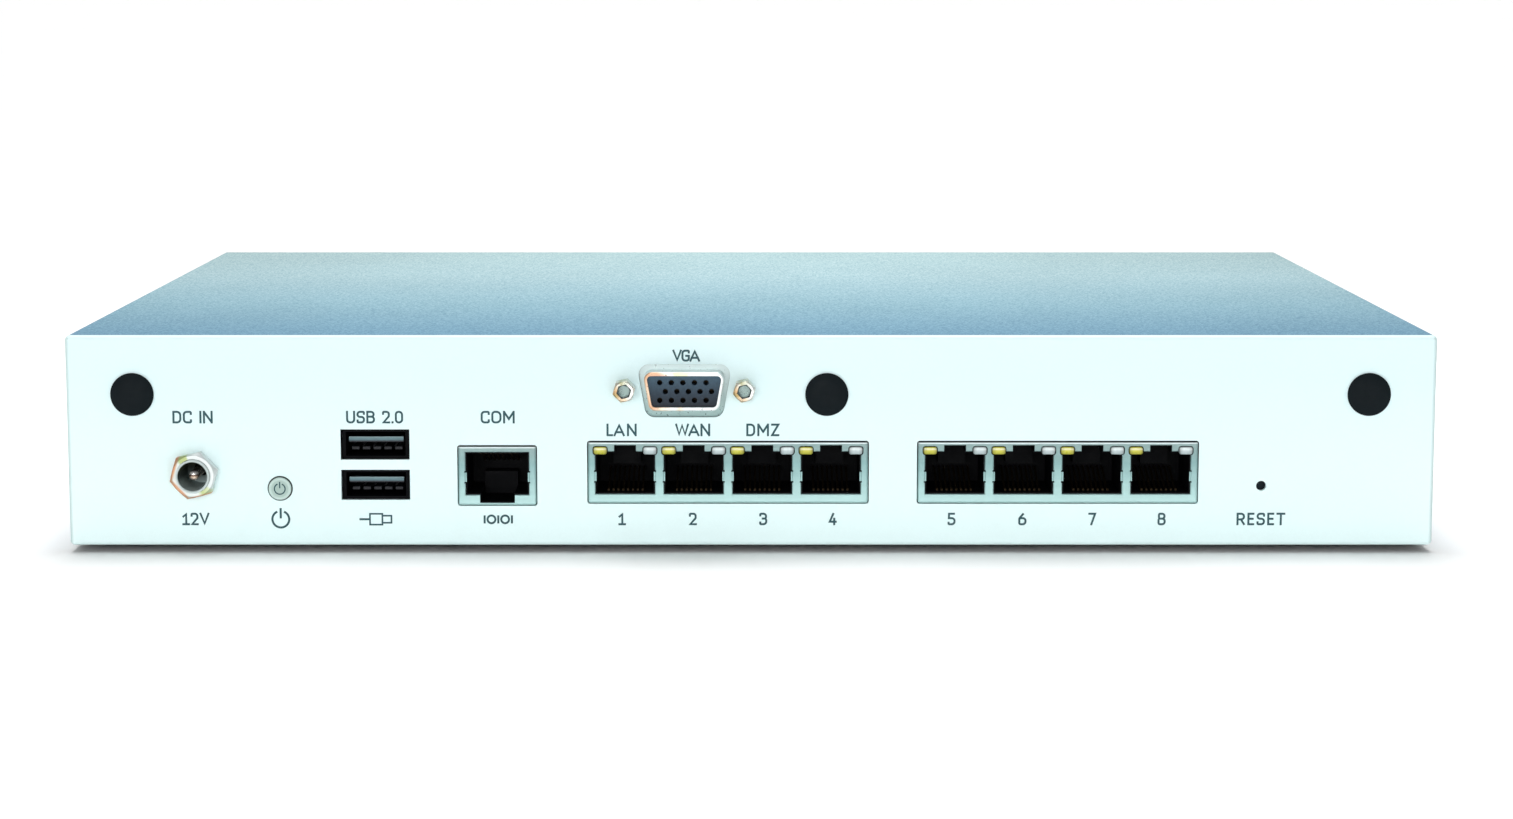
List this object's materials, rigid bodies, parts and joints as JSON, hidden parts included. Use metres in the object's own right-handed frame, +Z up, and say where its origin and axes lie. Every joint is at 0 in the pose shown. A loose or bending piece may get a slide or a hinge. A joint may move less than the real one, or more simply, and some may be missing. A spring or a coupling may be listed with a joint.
{
  "type": "network firewall appliance",
  "caption": "Low desktop network appliance in a white steel case, with a row of shielded network sockets, console, USB, video and DC inlet on its rear panel.",
  "frame": {"origin": "under the middle of the whole object, on the plane its feet stand on", "axes": "+Z up, -Y out of the rear panel that holds the sockets, +Y towards the front bezel, +X to the right seen from behind"},
  "size_m": [0.286, 0.1846, 0.0459],
  "materials": {
    "case_coat": "white powder coat with a faint cool tint, fine grain",
    "bezel_plastic": "fine textured plastic",
    "foot_rubber": "matt",
    "plug_plastic": "satin black moulding",
    "zinc_screw": "bright zinc plate",
    "nickel": "warm bright nickel plate",
    "pin_metal": "polished plate",
    "shield_tin": "tin plated, satin",
    "socket_plastic": "black moulding",
    "video_plastic": "dark slate blue moulding",
    "contact_gold": "thin gold plate",
    "button_plastic": "pale grey green, satin",
    "switch_plastic": "moulded",
    "link_lens": "clear yellow green tint",
    "activity_lens": "clear, milky",
    "board_laminate": "green solder mask",
    "standoff_brass": "turned",
    "chip_epoxy": "moulded epoxy",
    "pad_silicone": "soft",
    "heatsink_alloy": "extruded, clear anodised",
    "capacitor_can": "sleeved can",
    "cell_steel": "stamped",
    "ribbon_vinyl": "grey ribbon",
    "fan_plastic": "moulded",
    "lead_vinyl": "sleeved lead",
    "lamp_resin": "clear resin",
    "light_pipe": "clear acrylic, frosted end"
  },
  "bodies": {
    "chassis": {"activity_lenses": "activity_lens", "base_chassis": "case_coat", "board_screws": "zinc_screw", "capacitors": "capacitor_can", "coin_cell": "cell_steel", "coin_cell_holder": "switch_plastic", "console_contacts": "contact_gold", "console_housing": "socket_plastic", "console_shield": "shield_tin", "cover_screws": "zinc_screw", "dc_jack_barrel": "nickel", "dc_jack_housing": "socket_plastic", "dc_jack_nut": "nickel", "dc_jack_pin": "pin_metal", "fan_frame": "fan_plastic", "fan_lead": "lead_vinyl", "fan_screws": "zinc_screw", "front_bezel": "bezel_plastic", "heatsink": "heatsink_alloy", "heatsink_screws": "zinc_screw", "hole_plug_centre": "plug_plastic", "hole_plug_left": "plug_plastic", "hole_plug_right": "plug_plastic", "indicator_board": "board_laminate", "indicator_lamps": "lamp_resin", "indicator_ribbon": "ribbon_vinyl", "light_pipes": "light_pipe", "link_lenses": "link_lens", "main_board": "board_laminate", "memory_module": "board_laminate", "memory_socket": "socket_plastic", "network_chips": "chip_epoxy", "network_contacts_left": "contact_gold", "network_contacts_right": "contact_gold", "network_housing_left": "socket_plastic", "network_housing_right": "socket_plastic", "network_shield_left": "shield_tin", "network_shield_right": "shield_tin", "pin_headers": "socket_plastic", "power_inductors": "chip_epoxy", "power_switch": "switch_plastic", "processor": "chip_epoxy", "reset_switch": "switch_plastic", "rubber_feet": "foot_rubber", "standoffs": "standoff_brass", "storage_module": "board_laminate", "storage_socket": "socket_plastic", "thermal_pad": "pad_silicone", "top_cover": "case_coat", "usb_contacts": "contact_gold", "usb_inserts": "socket_plastic", "usb_shell": "shield_tin", "video_contacts": "contact_gold", "video_insulator": "video_plastic", "video_jackscrews": "nickel", "video_ribbon": "ribbon_vinyl", "video_shell": "nickel"},
    "power_button": {"power_button": "button_plastic"},
    "reset_plunger": {"reset_plunger": "switch_plastic"},
    "fan_rotor": {"fan_rotor": "fan_plastic"}
  },
  "joints": [
    {"name": "power_button_press", "type": "slide", "parent": "chassis", "child": "power_button", "axis": [0, 1, 0], "range_m": [0, 0.0005], "stiffness_N_per_m": 2000},
    {"name": "reset_plunger_press", "type": "slide", "parent": "chassis", "child": "reset_plunger", "axis": [0, 1, 0], "range_m": [0, 0.00025], "stiffness_N_per_m": 3000},
    {"name": "fan_spin", "type": "hinge", "parent": "chassis", "child": "fan_rotor", "pos_m": [-0.1369, 0.012, 0.0241], "axis": [1, 0, 0], "continuous": true}
  ]
}
